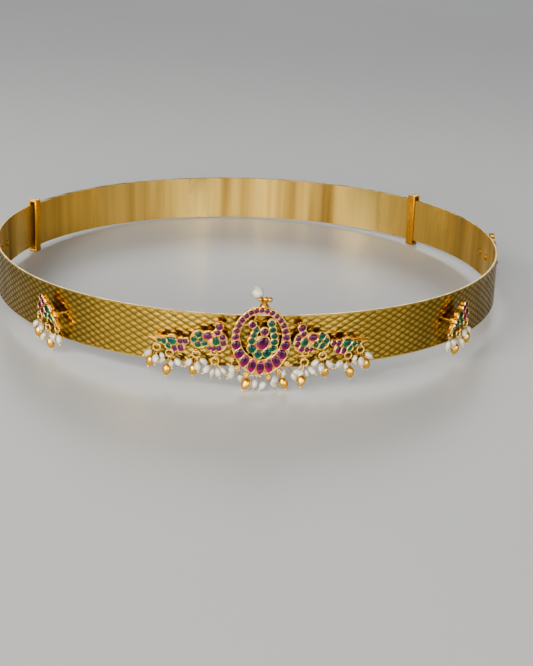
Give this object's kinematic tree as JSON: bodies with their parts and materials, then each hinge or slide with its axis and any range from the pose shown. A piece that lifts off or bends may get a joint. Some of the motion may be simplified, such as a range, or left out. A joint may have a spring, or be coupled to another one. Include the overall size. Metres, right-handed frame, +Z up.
{
  "type": "oddiyanam waist belt",
  "caption": "Springy gilt strip worn round the waist, overlapped in two keepers at the back, with a peacock medallion, stone-set sprays and bead drops in front.",
  "frame": {"origin": "middle of the waist opening, at the level of the surface that the belt stands on", "axes": "+Z up, along the opening; the medallion faces -Y; +X to the right as seen from in front"},
  "size_m": [0.2832, 0.2958, 0.0501],
  "materials": {
    "gilt_strip": "bright gilt strip, smooth inside, woven emboss outside",
    "keeper_gold": "polished gilt strap",
    "antique_gold": "antique gilt, worn bright on its edges",
    "satin_gold": "satin gilt bead",
    "pin_gold": "bright gilt wire",
    "ruby": "polished ruby-red stone",
    "emerald": "polished emerald-green stone",
    "pearl": "pearl lustre"
  },
  "bodies": {
    "root": {"band": "gilt_strip", "left_keeper": "keeper_gold", "right_keeper": "keeper_gold", "medallion_frame": "antique_gold", "medallion_ring_rubies": "ruby", "medallion_emeralds": "emerald", "medallion_rubies": "ruby", "top_pearl": "pearl", "left_peacock_frame": "antique_gold", "left_peacock_rubies": "ruby", "left_peacock_emeralds": "emerald", "right_peacock_frame": "antique_gold", "right_peacock_rubies": "ruby", "right_peacock_emeralds": "emerald", "left_leaf_frame": "antique_gold", "left_leaf_rubies": "ruby", "left_leaf_emeralds": "emerald", "right_leaf_frame": "antique_gold", "right_leaf_rubies": "ruby", "right_leaf_emeralds": "emerald", "left_side_frame": "antique_gold", "left_side_rubies": "ruby", "left_side_emeralds": "emerald", "right_side_frame": "antique_gold", "right_side_rubies": "ruby", "right_side_emeralds": "emerald", "left_rear_frame": "antique_gold", "left_rear_rubies": "ruby", "left_rear_emeralds": "emerald", "right_rear_frame": "antique_gold", "right_rear_rubies": "ruby", "right_rear_emeralds": "emerald", "medallion_pins": "pin_gold", "medallion_pearls": "pearl", "medallion_gold_beads": "satin_gold", "left_front_pins": "pin_gold", "left_front_pearls": "pearl", "left_front_gold_beads": "satin_gold", "right_front_pins": "pin_gold", "right_front_pearls": "pearl", "right_front_gold_beads": "satin_gold", "left_side_pins": "pin_gold", "left_side_pearls": "pearl", "left_side_gold_beads": "satin_gold", "right_side_pins": "pin_gold", "right_side_pearls": "pearl", "right_side_gold_beads": "satin_gold", "left_rear_pins": "pin_gold", "left_rear_pearls": "pearl", "left_rear_gold_beads": "satin_gold", "right_rear_pins": "pin_gold", "right_rear_pearls": "pearl", "right_rear_gold_beads": "satin_gold"}
  },
  "joints": []
}
